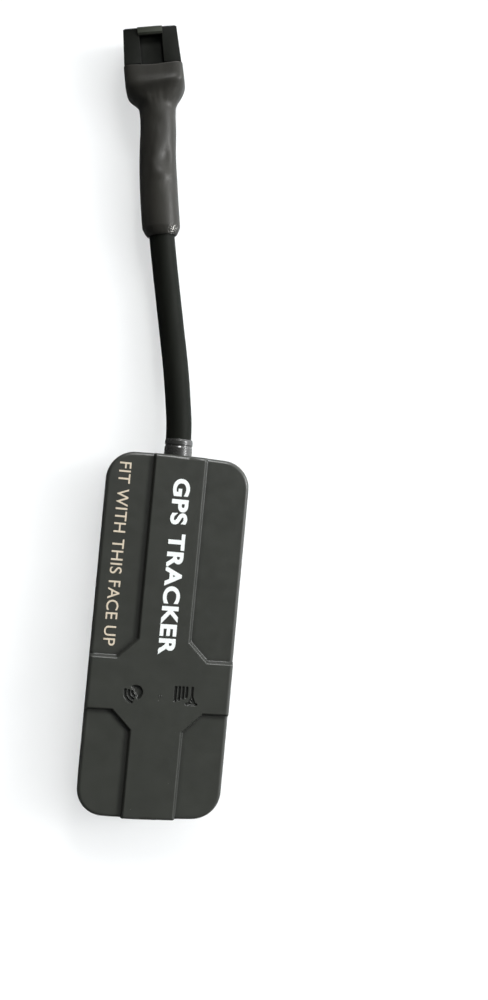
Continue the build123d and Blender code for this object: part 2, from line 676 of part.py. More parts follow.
def shrink_sleeve():
    """Shrunk tube: round over the cable, drawn out at its neck and square over the connector's rear."""
    start = tuple((a + b) / 2 for a, b in zip(ROUTE[SLEEVE_CORNER - 1], ROUTE[SLEEVE_CORNER]))
    path = FilletPolyline(start, *ROUTE[SLEEVE_CORNER:], radius=corner_radii(ROUTE)[SLEEVE_CORNER - 1 :])
    rear_w, rear_h = CONNECTOR_REAR_SIZE
    neck_plane = Plane(origin=(0, -SLEEVE_NECK, 0), x_dir=(1, 0, 0), z_dir=(0, 1, 0))
    rear_plane = Plane(origin=(0, 0, 0), x_dir=(1, 0, 0), z_dir=(0, 1, 0))

    def surface(radius, grow):
        """The outer or the inner surface of the sleeve, as a solid."""
        square = RectangleRounded(rear_w + 2 * grow, rear_h + 2 * grow, REAR_ROUND + grow)
        funnel = loft([neck_plane * Circle(radius), rear_plane * square])
        box = extrude(rear_plane * square, SLEEVE_OVERLAP)
        return swept_tube(path, radius) + CONNECTOR_PLACE * (funnel + box)

    return surface(SLEEVE_RADIUS, SLEEVE_SKIN) - surface(JACKET_RADIUS, 0.0)


def filter_capacitor():
    """Aluminium can on its square base."""
    side, _, seat = CAPACITOR_BASE
    base = chip(CAPACITOR_CENTRE, CAPACITOR_BASE)
    can = rod(*CAPACITOR_CENTRE, side / 2 - 0.1, (BOARD_TOP + seat, BOARD_TOP + CAPACITOR_HEIGHT))
    return base + fillet(can.faces().sort_by(Axis.Z)[-1].edges(), CAPACITOR_ROUND)


def build():
    """Every piece of the tracker under its node name."""
    cable_header, cable_plug, cable_pins = header_set(CABLE_HEADER, 4, CABLE_HEADER_PITCH, 0)
    battery_header, battery_plug, battery_pins = header_set(BATTERY_HEADER, 2, BATTERY_HEADER_PITCH, 90)
    inner_wall = CASE_WIDTH / 2 - WALL
    parts = {
        "top_cover": top_cover(),
        "bottom_case": bottom_case(),
        "case_gasket": case_gasket(),
        "case_screws": case_screws(),
        "rating_label": chip((0, LABEL_Y), (*LABEL_SIZE, LABEL_THICKNESS), LABEL_POCKET - LABEL_THICKNESS),
        "circuit_board": circuit_board(),
        "board_screws": board_screws(),
        "patch_antenna": chip(PATCH_CENTRE, PATCH_SIZE),
        "patch_electrode": patch_electrode(),
        "gsm_antenna": block((-inner_wall, 0.15 - inner_wall), (-32.0, 2.0), (6.2, 9.0)),
        "modem_board": chip(MODEM_CENTRE, MODEM_SIZE),
        "modem_shield": modem_shield(),
        "controller_chip": chip((9.2, 18.4), (5.0, 5.0, 0.9)),
        "motion_sensor": chip((1.2, -14.6), (2.0, 2.0, 0.9)),
        "power_inductor": fillet(chip((10.8, 24.0), (4.4, 4.4, 2.4)).edges().filter_by(Axis.Z), 0.8),
        "filter_capacitor": filter_capacitor(),
        "surge_diode": chip((-10.2, 24.4), (4.3, 2.6, 2.2)),
        "resettable_fuse": chip((-10.2, 28.0), (4.5, 2.6, 0.9)),
        "satellite_led": chip((-ICON_X, ICON_Y), LED_SIZE),
        "network_led": chip((ICON_X, ICON_Y), LED_SIZE),
        "sim_holder_base": sim_holder_base(),
        "sim_contacts": sim_contacts(),
        "sim_holder_shell": sim_holder_shell(),
        "sim_card": sim_card(),
        "switch_housing": switch_housing(),
        "switch_slider": switch_slider(),
        "battery_cell": battery_cell(),
        "battery_cap": battery_cap(),
        "battery_tape": block((-8.0, 8.0), (-37.0, -19.0), (BOARD_TOP, BATTERY_Z[0])),
        "battery_lead_red": battery_lead(1),
        "battery_lead_black": battery_lead(-1),
        "battery_header": battery_header,
        "battery_plug": battery_plug,
        "cable_header": cable_header,
        "cable_plug": cable_plug,
        "header_pins": Compound(children=cable_pins + battery_pins),
        "cable_gland": cable_gland(),
        "cable_jacket": cable_jacket(),
        "shrink_sleeve": shrink_sleeve(),
        "connector_housing": connector_housing(),
        "connector_pins": connector_pins(),
    }
    for index, (name, place) in enumerate(CORES.items()):
        parts[name] = core(place, index)
    return parts


os.makedirs("parts", exist_ok=True)
for name, shape in build().items():
    export_step(shape, f"parts/{name}.step")
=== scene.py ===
"""Looks of a wired vehicle GPS tracker: two-shell case, pigtail cable, shrunk sleeve and connector."""

import bmesh
import bpy
import json
import numpy as np
from math import cos, pi, radians, sin
from mathutils import Matrix, Vector


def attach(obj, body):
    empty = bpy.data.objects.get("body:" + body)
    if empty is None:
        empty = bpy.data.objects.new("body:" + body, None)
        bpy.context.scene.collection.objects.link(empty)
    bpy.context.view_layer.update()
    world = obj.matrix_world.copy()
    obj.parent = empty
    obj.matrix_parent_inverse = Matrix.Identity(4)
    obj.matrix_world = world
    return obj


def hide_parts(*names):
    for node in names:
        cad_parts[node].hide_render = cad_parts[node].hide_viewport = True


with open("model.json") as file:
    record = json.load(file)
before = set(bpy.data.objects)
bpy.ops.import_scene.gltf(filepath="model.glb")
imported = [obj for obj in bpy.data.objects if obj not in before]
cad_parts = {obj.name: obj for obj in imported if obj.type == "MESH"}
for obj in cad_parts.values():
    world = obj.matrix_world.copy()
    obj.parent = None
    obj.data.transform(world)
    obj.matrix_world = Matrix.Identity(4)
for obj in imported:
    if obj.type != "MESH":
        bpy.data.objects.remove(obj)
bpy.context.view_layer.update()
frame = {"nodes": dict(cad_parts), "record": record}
nodes = frame["nodes"]
slot_of = {part["node"]: part["material_slot"] for part in frame["record"]["subparts"]}
colour_of = {entry["slot"]: entry["base_color"][:3] for entry in frame["record"]["materials"]}

MM = 0.001
BODY = "tracker"

# The connector's rear face and its turn, and how far the sleeve's neck lies behind that face, in millimetres
CONNECTOR_REAR = Vector((-13.45, 127.0, 5.0))
CONNECTOR_ROLL = radians(8.0)
CONNECTOR_TURN = Matrix.Rotation(radians(10.5), 3, "Z") @ Matrix.Rotation(-CONNECTOR_ROLL, 3, "Y")
SLEEVE_NECK = 3.2


def connector_point(x, y, z):
    """A point of the connector's own frame, whose origin is its rear face and whose +Y is its mating end."""
    return CONNECTOR_REAR + CONNECTOR_TURN @ Vector((x, y, z))


# The cord's route, from its cut end inside the case, along the jacket, to the neck of the sleeve
ROUTE = [
    (-0.4, 36.5, 6.0),
    (-0.4, 46.6, 6.0),
    (-1.4, 54.5, 5.6),
    (-2.7, 63.0, 4.5),
    (-4.4, 71.5, 3.7),
    (-6.1, 80.0, 3.4),
    (-7.9, 88.5, 3.9),
    (-9.5, 97.0, 4.4),
    (-10.7, 105.0, 4.5),
    (-11.6, 112.0, 4.6),
    connector_point(0, -SLEEVE_NECK - 4.4, 0),
    connector_point(0, -SLEEVE_NECK, 0),
]
JACKET_POINTS = 10
JACKET_DIAMETER = 6.0


# Materials

DUST = (0.35, 0.35, 0.33, 1)
# Colour of the painted shade in corners, where walls close in
CORNER_SHADE = (0.004, 0.004, 0.004, 1)
GLUE = (0.75, 0.74, 0.7, 1)
# Colour of the painted highlight on the connector's catch bar, lighter than the nylon
CATCH_BAR_HIGHLIGHT = (0.05, 0.054, 0.043, 1)
PLATED_HOLE = (0.62, 0.47, 0.2, 1)
GLUE_CRUMBS = (-6.2, 94.3, 7.4)


class Shader:
    """A node material around one Principled shader, with helpers for the nodes that finishes share."""

    def __init__(self, name):
        self.material = bpy.data.materials.new(name)
        self.material.use_nodes = True
        self.tree = self.material.node_tree
        self.bsdf = self.tree.nodes["Principled BSDF"]
        self.place = self.add("ShaderNodeTexCoord").outputs["Object"]

    def add(self, kind, **settings):
        """A node with its properties and its inputs' values."""
        node = self.tree.nodes.new(kind)
        for key, value in settings.items():
            if key in node.inputs.keys():
                self.feed(node.inputs[key], value)
            else:
                setattr(node, key, value)
        return node

    def feed(self, socket, value):
        """Links a socket to another node's output, or sets its value."""
        if isinstance(value, bpy.types.NodeSocket):
            self.tree.links.new(value, socket)
        else:
            socket.default_value = value

    def noise(self, size_mm, detail=3.0, stretch=(1, 1, 1)):
        """Noise whose features are about that many millimetres across, drawn out by a stretch."""
        mapping = self.add("ShaderNodeMapping", Vector=self.place, Scale=[1 / s for s in stretch])
        settings = dict(Vector=mapping.outputs["Vector"], Scale=1 / (size_mm * MM), Detail=detail)
        return self.add("ShaderNodeTexNoise", **settings).outputs["Fac"]

    def span(self, value, low, high, start=0.3, end=0.7):
        """Carries a value from one range to another."""
        limits = {"From Min": start, "From Max": end, "To Min": low, "To Max": high}
        return self.add("ShaderNodeMapRange", Value=value, **limits).outputs["Result"]

    def times(self, first, second):
        """Two values multiplied."""
        node = self.add("ShaderNodeMath", operation="MULTIPLY")
        self.feed(node.inputs[0], first)
        self.feed(node.inputs[1], second)
        return node.outputs[0]

    def mix(self, share, first, second):
        """A blend of two colours."""
        node = self.add("ShaderNodeMix", data_type="RGBA", clamp_factor=True)
        self.feed(node.inputs[0], share)
        self.feed(node.inputs[6], first)
        self.feed(node.inputs[7], second)
        return node.outputs[2]

    def bump(self, height, depth_mm, below=None):
        """A relief of that depth, laid over another one if there is one."""
        node = self.add("ShaderNodeBump", Height=height, Distance=depth_mm * MM, Strength=1.0)
        if below is not None:
            self.feed(node.inputs["Normal"], below)
        return node.outputs[0]

    def finish(self, **inputs):
        """Feeds the shader's inputs, whose names have underscores for spaces, and gives the material."""
        for name, value in inputs.items():
            self.feed(self.bsdf.inputs[name.replace("_", " ")], value)
        return self.material


def tint(colour, factor):
    """A colour made darker or lighter, as RGBA."""
    return (*[min(1.0, c * factor) for c in colour], 1.0)


def dusted(s, base, amount):
    """Sparse pale specks over a colour."""
    dots = s.add("ShaderNodeTexVoronoi", Vector=s.place, Scale=1 / (2.6 * MM), Randomness=1.0)
    speck = s.span(dots.outputs["Distance"], 1, 0, 0.02, 0.05)
    patch = s.span(s.noise(9.0), 0, 1, 0.5, 0.62)
    return s.mix(s.times(s.times(speck, patch), amount), base, DUST)


def painted_corner_shade(s, base, reach_mm):
    """Painted shade: a colour darkened in the corners, by how closed in they are, as far from their walls as
    the reach.
    """
    openness = s.add("ShaderNodeAmbientOcclusion", samples=8, Distance=reach_mm * MM)
    return s.mix(s.span(openness.outputs["AO"], 0.95, 0.0, 0.45, 0.98), base, CORNER_SHADE)


def glued(s, base, centre):
    """Crumbs of dried glue over a colour, round one place."""
    away = s.add("ShaderNodeVectorMath", operation="DISTANCE")
    s.feed(away.inputs[0], s.place)
    s.feed(away.inputs[1], Vector(centre) * MM)
    near = s.span(away.outputs["Value"], 0.85, 0.0, 0.5 * MM, 1.7 * MM)
    crumbs = s.span(s.noise(0.45, 1.0), 0, 1, 0.52, 0.6)
    return s.mix(s.times(near, crumbs), base, GLUE)


def moulded(
    name, colour, rough=0.5, level=0.5, grain_mm=0.2, grain_depth=0.012, mottle=0.12, mottle_mm=7.0,
    stretch=(1, 1, 1), edge_mm=0.0, dust=0.0, bar_highlight=None, corner_shade_mm=0.0, glue_at=None,
):
    """Moulded plastic or rubber: fine grain in relief, and slow drift of colour and gloss."""
    s = Shader(name)
    drift = s.noise(mottle_mm, stretch=stretch)
    base = s.mix(s.span(drift, 0, 1), tint(colour, 1 - mottle), tint(colour, 1 + mottle))
    if dust:
        base = dusted(s, base, dust)
    # Painted highlight: marked vertices take a lighter colour
    if bar_highlight:
        base = s.mix(s.add("ShaderNodeAttribute", attribute_name="painted_highlight").outputs["Fac"], base, bar_highlight)
    # Painted shade: darker in corners, by ambient occlusion
    if corner_shade_mm:
        base = painted_corner_shade(s, base, corner_shade_mm)
    if glue_at:
        base = glued(s, base, glue_at)
    eased = s.add("ShaderNodeBevel", samples=6, Radius=edge_mm * MM).outputs[0] if edge_mm else None
    return s.finish(
        Base_Color=base,
        Roughness=s.span(s.noise(mottle_mm / 3), rough - 0.05, rough + 0.05),
        Normal=s.bump(s.noise(grain_mm, 2.0, stretch), grain_depth, eased),
        Specular_IOR_Level=level,
    )


def metal(name, colour, rough=0.3, stretch=(1, 12, 1)):
    """Rolled, plated or drawn metal, with fine lines along one direction and a slight stain."""
    s = Shader(name)
    lines = s.noise(0.12, 2.0, stretch)
    return s.finish(
        Base_Color=s.mix(s.span(s.noise(3.0), 0, 1), tint(colour, 0.82), tint(colour, 1.05)),
        Metallic=1.0,
        Roughness=s.span(lines, rough - 0.08, rough + 0.12),
        Normal=s.bump(lines, 0.004),
    )


def laminate(name, colour):
    """Solder mask over a pattern of tracks and plated holes."""
    s = Shader(name)
    tracks = s.add("ShaderNodeTexBrick", Vector=s.place, Scale=1 / (3.2 * MM), offset=0.37)
    tracks.inputs["Mortar Size"].default_value = 0.05
    holes = s.add("ShaderNodeTexVoronoi", Vector=s.place, Scale=1 / (2.1 * MM), Randomness=0.6)
    ring = s.span(holes.outputs["Distance"], 1, 0, 0.1, 0.13)
    mask = s.mix(tracks.outputs["Fac"], tint(colour, 1.0), tint(colour, 1.9))
    return s.finish(
        Base_Color=s.mix(ring, mask, PLATED_HOLE),
        Metallic=ring,
        Roughness=s.span(s.noise(1.5), 0.28, 0.4),
        Normal=s.bump(tracks.outputs["Fac"], 0.03),
    )


def paper(name, colour):
    """Matt label film with a faint fibre."""
    s = Shader(name)
    fibre = s.noise(0.25, 6.0, (1, 3, 1))
    return s.finish(
        Base_Color=s.mix(s.span(fibre, 0, 1), tint(colour, 0.93), tint(colour, 1.02)),
        Roughness=s.span(fibre, 0.55, 0.7),
        Normal=s.bump(fibre, 0.006),
    )


def ceramic(name, colour):
    """Fired ceramic with small dark grains."""
    s = Shader(name)
    grains = s.span(s.noise(0.35, 4.0), 0, 1, 0.55, 0.68)
    return s.finish(
        Base_Color=s.mix(grains, tint(colour, 1.0), tint(colour, 0.6)),
        Roughness=s.span(s.noise(1.2), 0.4, 0.55),
        Normal=s.bump(s.noise(0.2), 0.01),
    )


def foil(name, colour):
    """Laminated pouch foil, embossed and lightly creased."""
    s = Shader(name)
    crease = s.noise(3.5, 5.0, (1, 2, 1))
    return s.finish(
        Base_Color=s.mix(s.span(crease, 0, 1), tint(colour, 0.85), tint(colour, 1.05)),
        Metallic=0.85,
        Roughness=s.span(crease, 0.3, 0.48),
        Normal=s.bump(crease, 0.25),
    )


def ink(name, colour):
    """Pad-printed ink, slightly uneven."""
    s = Shader(name)
    patch = s.noise(0.5, 4.0)
    return s.finish(
        Base_Color=s.mix(s.span(patch, 0, 1), tint(colour, 0.9), tint(colour, 1.0)),
        Roughness=s.span(patch, 0.45, 0.58),
        Normal=s.bump(patch, 0.004),
    )


WIRE = dict(rough=0.3, grain_depth=0.003, mottle=0.06)
FINISHES = {
    # cover_plastic gets painted shade in its corners
    "cover_plastic": (moulded, dict(
        rough=0.35, grain_mm=0.16, grain_depth=0.01, mottle=0.08, edge_mm=0.22, dust=0.5, corner_shade_mm=1.5,
    )),
    "case_plastic": (moulded, dict(rough=0.39, grain_mm=0.16, mottle=0.1, edge_mm=0.2)),
    "silicone": (moulded, dict(rough=0.55, grain_depth=0.006)),
    "screw_steel": (metal, dict(rough=0.32, stretch=(1, 1, 1))),
    "label_film": (paper, {}),
    "board_laminate": (laminate, {}),
    "module_laminate": (laminate, {}),
    "antenna_ceramic": (ceramic, {}),
    "silvered_electrode": (metal, dict(rough=0.45, stretch=(1, 1, 1))),
    "flex_film": (moulded, dict(rough=0.22, grain_depth=0.002, mottle=0.2, mottle_mm=2.0)),
    "tinned_sheet": (metal, {}),
    "chip_epoxy": (moulded, dict(rough=0.6, grain_mm=0.08, grain_depth=0.006)),
    "ferrite": (moulded, dict(rough=0.65, grain_mm=0.1, grain_depth=0.01, mottle=0.2, mottle_mm=0.8)),
    "capacitor_can": (metal, dict(rough=0.25, stretch=(1, 1, 12))),
    "fuse_body": (moulded, dict(mottle=0.2, mottle_mm=1.0)),
    "led_body": (moulded, dict(rough=0.18, grain_depth=0.001, mottle=0.15, mottle_mm=0.6)),
    "insulator_black": (moulded, dict(grain_depth=0.005)),
    "insulator_ivory": (moulded, dict(rough=0.42, grain_depth=0.004, mottle=0.05, mottle_mm=3.0)),
    "gold_contact": (metal, dict(rough=0.2)),
    "card_plastic": (moulded, dict(rough=0.35, grain_depth=0.002, mottle=0.03)),
    "pouch_foil": (foil, {}),
    "polyimide_tape": (moulded, dict(rough=0.2, grain_depth=0.003, mottle=0.2, mottle_mm=2.5)),
    "foam_tape": (moulded, dict(rough=0.85, grain_mm=0.3, grain_depth=0.05, mottle=0.2, mottle_mm=0.6)),
    "wire_red": (moulded, WIRE),
    "wire_black": (moulded, WIRE),
    "wire_yellow": (moulded, WIRE),
    "wire_white": (moulded, WIRE),
    "tin_plating": (metal, dict(rough=0.25)),
    "gland_rubber": (moulded, dict(
        rough=0.24, level=0.9, grain_mm=0.15, grain_depth=0.01, mottle=0.15, mottle_mm=1.5, edge_mm=0.15,
    )),
    "cable_pvc": (moulded, dict(
        rough=0.55, level=0.06, grain_mm=0.3, mottle=0.15, mottle_mm=2.5, stretch=(1, 6, 1),
    )),
    "shrink_polyolefin": (moulded, dict(
        rough=0.44, level=0.22, grain_mm=0.5, grain_depth=0.02, mottle=0.15, mottle_mm=2.5, stretch=(1, 4, 1),
        glue_at=GLUE_CRUMBS,
    )),
    # connector_nylon gets painted shade in its corners and a painted highlight on its catch bar
    "connector_nylon": (moulded, dict(
        rough=0.45, level=0.1, grain_mm=0.12, grain_depth=0.006, mottle=0.15, mottle_mm=3.0,
        bar_highlight=CATCH_BAR_HIGHLIGHT, corner_shade_mm=0.8,
    )),
}


def finished(slot):
    """The material of a slot, in its colour."""
    make, settings = FINISHES[slot]
    return make(slot, colour_of[slot], **settings)


materials = {slot: finished(slot) for slot in colour_of}


def finish_cad_nodes():
    """Gives every CAD node the finish of its material slot."""
    for name, node in nodes.items():
        node.data.materials.clear()
        node.data.materials.append(materials[slot_of[name]])


def riding(name, data, material):
    """A new object in the scene, in that material, that rides on the tracker."""
    piece = bpy.data.objects.new(name, data)
    bpy.context.scene.collection.objects.link(piece)
    data.materials.clear()
    data.materials.append(material)
    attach(piece, BODY)
    return piece


def add_piece(name, data, slot, replaced=()):
    """A piece with a slot's finish, which may stand for CAD nodes."""
    piece = riding(name, data, materials[slot])
    if replaced:
        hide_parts(*replaced)
    return piece


def mesh_from(name, points, faces, smooth=True):
    """A mesh from points in millimetres and faces."""
    mesh = bpy.data.meshes.new(name)
    mesh.from_pydata([Vector(p) * MM for p in points], [], faces)
    mesh.polygons.foreach_set("use_smooth", [smooth] * len(mesh.polygons))
    mesh.update()
    return mesh


def mesh_of(data):
    """The mesh that a curve or a text comes to."""
    holder = bpy.data.objects.new("holder", data)
    bpy.context.scene.collection.objects.link(holder)
    bpy.context.view_layer.update()
    mesh = bpy.data.meshes.new_from_object(holder.evaluated_get(bpy.context.evaluated_depsgraph_get()))
    bpy.data.objects.remove(holder)
    return mesh


# Cable


def route_curve(name, points):
    """A smooth curve whose control points are the route's."""
    curve = bpy.data.curves.new(name, "CURVE")
    curve.dimensions = "3D"
    curve.resolution_u = 16
    spline = curve.splines.new("NURBS")
    spline.points.add(len(points) - 1)
    for point, place in zip(spline.points, points):
        point.co = (*(Vector(place) * MM), 1.0)
    spline.order_u = 3
    spline.use_endpoint_u = True
    return curve


def cable():
    """The round jacket, from inside the case to inside the sleeve."""
    curve = route_curve("cable", ROUTE[:JACKET_POINTS])
    curve.bevel_depth = JACKET_DIAMETER / 2 * MM
    curve.bevel_resolution = 12
    curve.use_fill_caps = True
    return add_piece("cable", curve, "cable_pvc", ["cable_jacket"])


# Sleeve

# Distance from the connector's rear face, then half width, half height and squareness of the section there
SLEEVE_SECTIONS = (
    (-35.0, 4.40, 4.05, 2.0),
    (-30.0, 4.50, 4.15, 2.0),
    (-22.0, 4.45, 4.05, 2.0),
    (-13.0, 4.25, 3.85, 2.0),
    (-6.5, 4.15, 3.72, 2.0),
    (-4.4, 4.30, 3.62, 2.1),
    (-3.2, 4.90, 3.60, 2.4),
    (-1.8, 6.10, 3.66, 3.2),
    (-0.6, 6.80, 4.06, 3.6),
    (0.4, 6.95, 4.16, 4.2),
    (1.8, 6.93, 4.14, 6.0),
    (4.25, 6.85, 4.06, 8.0),
)
SLEEVE_START_Y = 92.75
SLEEVE_OVERLAP = 4.25
SLEEVE_POINTS = 128
SLEEVE_STEP = 0.25
SLEEVE_INNER_STRIDE = 4
SLEEVE_SMOOTHING = 0.7
SLEEVE_TWIST_START = -12.0

# The lip tapers down to the jacket, less a gap, and the wall thickens from the lip on
LIP_LENGTH = 1.9
LIP_TAPER = 0.6
LIP_GAP = 0.32
LIP_WALL = 0.28
SLEEVE_WALL = 0.55

# How the rounded rims run: inset from the outer surface, and reach along the line
LIP_RIM = ((0.24, 0.0), (0.06, -0.04))
MOUTH_RIM = ((0.12, 0.1), (0.35, 0.1))

# Local shapes, each by its centre and length along the line, then its size
BROW = (0.3, 1.0, 0.42)
SHOULDER_SKEW = (-0.6, 1.6, 0.5)
NECK_WRINKLES = (-2.9, 1.5, 0.04)
MOUTH_SPREAD = 0.45

# Dents: centre, angle round the section, length, width as an angle, and depth
SLEEVE_DENTS = (
    (-17.2, 70, 2.4, 24, 0.42),
    (-15.4, 60, 1.8, 16, 0.20),
    (-20.6, 74, 1.2, 40, -0.16),
    (-18.4, 112, 1.8, 13, -0.18),
    (-15.6, 102, 2.0, 12, -0.14),
    (-12.8, 92, 2.4, 13, -0.08),
    (-21.5, 55, 3.0, 22, 0.16),
    (-8.5, 100, 2.0, 30, 0.15),
    (-4.6, 140, 1.4, 18, 0.18),
    (-4.4, 48, 1.2, 16, 0.16),
    (-27.5, 105, 3.2, 30, 0.10),
)


def bell(along, centre, length, size=1.0):
    """A rise and fall of that size round a centre."""
    return size * np.exp(-(((along - centre) / length) ** 2))


def smoothed(values, reach):
    """A running mean that keeps the ends."""
    padded = np.pad(values, reach, mode="edge")
    return np.convolve(padded, np.ones(2 * reach + 1) / (2 * reach + 1), mode="valid")


def sleeve_line():
    """The sleeve's centre line: evenly spaced points, and their distances from the connector's rear face."""
    sampled = mesh_of(route_curve("route", ROUTE))
    line = [np.array(v.co) / MM for v in sampled.vertices if v.co.y >= SLEEVE_START_Y * MM]
    bpy.data.meshes.remove(sampled)
    line = np.array([*line, np.array(connector_point(0, SLEEVE_OVERLAP, 0))])
    run = np.concatenate([[0], np.cumsum(np.linalg.norm(np.diff(line, axis=0), axis=1))])
    even = np.linspace(0, run[-1], int(run[-1] / SLEEVE_STEP) + 1)
    points = np.column_stack([np.interp(even, run, line[:, i]) for i in range(3)])
    return points, even - run[-1] + SLEEVE_OVERLAP


def section_radius(angle, half_width, half_height, squareness):
    """Distance from the centre of a rounded box, or of an ellipse when squareness is 2."""
    c, s = abs(cos(angle)) / half_width, abs(sin(angle)) / half_height
    return (c**squareness + s**squareness) ** (-1 / squareness)


def dent_depth(along, angle):
    """How far the outer surface is pressed in at one place."""
    depth = 0.0
    for centre, where, length, width, deep in SLEEVE_DENTS:
        turn = (np.degrees(angle) - where + 180) % 360 - 180
        depth += bell(along, centre, length, deep) * bell(turn, 0, width)
    wrinkles = sin(9 * angle + 0.6 * along) + 0.5 * sin(17 * angle + 1.3)
    return depth + wrinkles * bell(along, *NECK_WRINKLES)


def sleeve():
    """Shrunk tube: tapered lip on the cable, dented body, wrinkled neck, and a box round the connector."""
    points, along = sleeve_line()
    stations, *columns = np.array(SLEEVE_SECTIONS).T
    reach = int(SLEEVE_SMOOTHING / SLEEVE_STEP)
    sizes = [smoothed(np.interp(along, stations, column), reach) for column in columns]
    tangents = np.gradient(points, axis=0)
    tangents /= np.linalg.norm(tangents, axis=1)[:, None]
    roll = np.interp(along, (SLEEVE_TWIST_START, -SLEEVE_NECK), (0, CONNECTOR_ROLL))
    lip = np.clip((along - along[0]) / LIP_LENGTH, 0, 1) ** LIP_TAPER
    spread = MOUTH_SPREAD * np.clip((along + 1) / (SLEEVE_OVERLAP + 1), 0, 1)
    skew, brow = bell(along, *SHOULDER_SKEW), bell(along, *BROW)
    snug = JACKET_DIAMETER / 2 + LIP_GAP
    verts, rings = [], []

    def ring(i, inset, ahead=0.0):
        """One ring of points at a station, inset from the outer surface and shifted ahead along the line."""
        t = Vector(tangents[i])
        side = t.cross(Vector((0, 0, 1))).normalized()
        side.rotate(Matrix.Rotation(-roll[i], 3, t))
        up = side.cross(t)
        rings.append(len(verts))
        for k in range(SLEEVE_POINTS):
            angle = 2 * pi * k / SLEEVE_POINTS
            r = section_radius(angle, *[size[i] for size in sizes])
            r = snug + (r - snug) * lip[i] - dent_depth(along[i], angle) - inset
            push = ahead + spread[i] * cos(angle) ** 2 + skew[i] * cos(angle)
            lift = brow[i] * max(0.0, sin(angle))
            outward = side * (r * cos(angle)) + up * (r * sin(angle) + lift)
            verts.append(Vector(points[i]) + t * push + outward)

    last = len(points) - 1
    for inset, ahead in LIP_RIM:
        ring(0, inset, ahead)
    for i in range(len(points)):
        ring(i, 0.0)
    for inset, ahead in MOUTH_RIM:
        ring(last, inset, ahead)
    for i in range(last, -1, -SLEEVE_INNER_STRIDE):
        ring(i, LIP_WALL + (SLEEVE_WALL - LIP_WALL) * lip[i])
    faces = []
    for a, b in zip(rings, rings[1:] + rings[:1]):
        for k in range(SLEEVE_POINTS):
            n = (k + 1) % SLEEVE_POINTS
            faces.append((a + k, a + n, b + n, b + k))
    mesh = mesh_from("heat_shrink_sleeve", verts, faces)
    mesh.flip_normals()
    return add_piece("heat_shrink_sleeve", mesh, "shrink_polyolefin", ["shrink_sleeve"])


# Connector

# The catch bar, in the connector's frame: half width, and where it starts along and above
CATCH_HALF = 2.9
CATCH_Y = 11.1
CATCH_Z = 3.8
EASED_EDGE = 0.12


def connector_body():
    """The housing with its edges eased, and its catch bar marked for a painted highlight: a lighter colour
    standing in for its lit faces.
    """
    work = bmesh.new()
    work.from_mesh(nodes["connector_housing"].data)
    bmesh.ops.remove_doubles(work, verts=work.verts, dist=0.002 * MM)
    bmesh.ops.dissolve_limit(work, angle_limit=radians(1), verts=work.verts, edges=work.edges)
    mesh = bpy.data.meshes.new("connector_body")
    work.to_mesh(mesh)
    work.free()
    mesh.polygons.foreach_set("use_smooth", [True] * len(mesh.polygons))
    places = np.array([CONNECTOR_TURN.transposed() @ (v.co / MM - CONNECTOR_REAR) for v in mesh.vertices])
    # Vertices of the catch bar, which the shader paints lighter as a painted highlight
    on_bar = (abs(places[:, 0]) < CATCH_HALF) & (places[:, 1] > CATCH_Y) & (places[:, 2] > CATCH_Z)
    mesh.attributes.new("painted_highlight", "FLOAT", "POINT").data.foreach_set("value", on_bar.astype(float))
    piece = add_piece("connector_body", mesh, "connector_nylon", ["connector_housing"])
    ease = piece.modifiers.new("ease", "BEVEL")
    ease.width = EASED_EDGE * MM
    ease.segments = 3
    ease.limit_method = "ANGLE"
    ease.angle_limit = radians(25)
    ease.harden_normals = True
    return piece


# Cover

CROSS_TOP = 12.0
PANEL_TOP = 11.0
INK_SUNK = 0.01
INK_THICKNESS = 0.03
GATE_CENTRE = Vector((0.2, -13.4, 11.98))
GATE_RADIUS = 0.34
GATE_WIDTH = 0.8
GATE_WAVE = 0.12
GATE_TUBE = 0.09
GATE_SIDES = 16
GATE_TUBE_SIDES = 8


def printed_line(name, text, material, start, length, cap_height, surface_z, weight, spacing):
    """A line of print that reads towards -Y, from its start, with the tops of its letters towards +X."""
    curve = bpy.data.curves.new(name, "FONT")
    curve.body = text
    curve.offset = weight
    curve.space_character = spacing
    curve.extrude = 0.01
    mesh = mesh_of(curve)
    co = np.array([v.co for v in mesh.vertices])
    unit = (co - co.min(0)) / (co.max(0) - co.min(0))
    across = start[0] + (unit[:, 1] - 0.5) * cap_height
    down = start[1] - unit[:, 0] * length
    up = surface_z - INK_SUNK + unit[:, 2] * INK_THICKNESS
    mesh.vertices.foreach_set("co", (np.column_stack([across, down, up]) * MM).ravel())
    mesh.update()
    riding(name, mesh, material)


def gate_mark():
    """The small raised scar where the cover's moulding was cut from its runner."""
    points, faces = [], []
    for i in range(GATE_SIDES):
        turn = 2 * pi * i / GATE_SIDES
        middle = GATE_RADIUS * (1 + GATE_WAVE * sin(3 * turn + 0.5))
        for j in range(GATE_TUBE_SIDES):
            roll = 2 * pi * j / GATE_TUBE_SIDES
            out = middle + GATE_TUBE * cos(roll)
            rise = GATE_TUBE * sin(roll)
            points.append(GATE_CENTRE + Vector((out * cos(turn), GATE_WIDTH * out * sin(turn), rise)))
            a, b = GATE_TUBE_SIDES * i, GATE_TUBE_SIDES * ((i + 1) % GATE_SIDES)
            m = (j + 1) % GATE_TUBE_SIDES
            faces.append((a + j, b + j, b + m, a + m))
    add_piece("gate_mark", mesh_from("gate_mark", points, faces), "cover_plastic")


# Studio

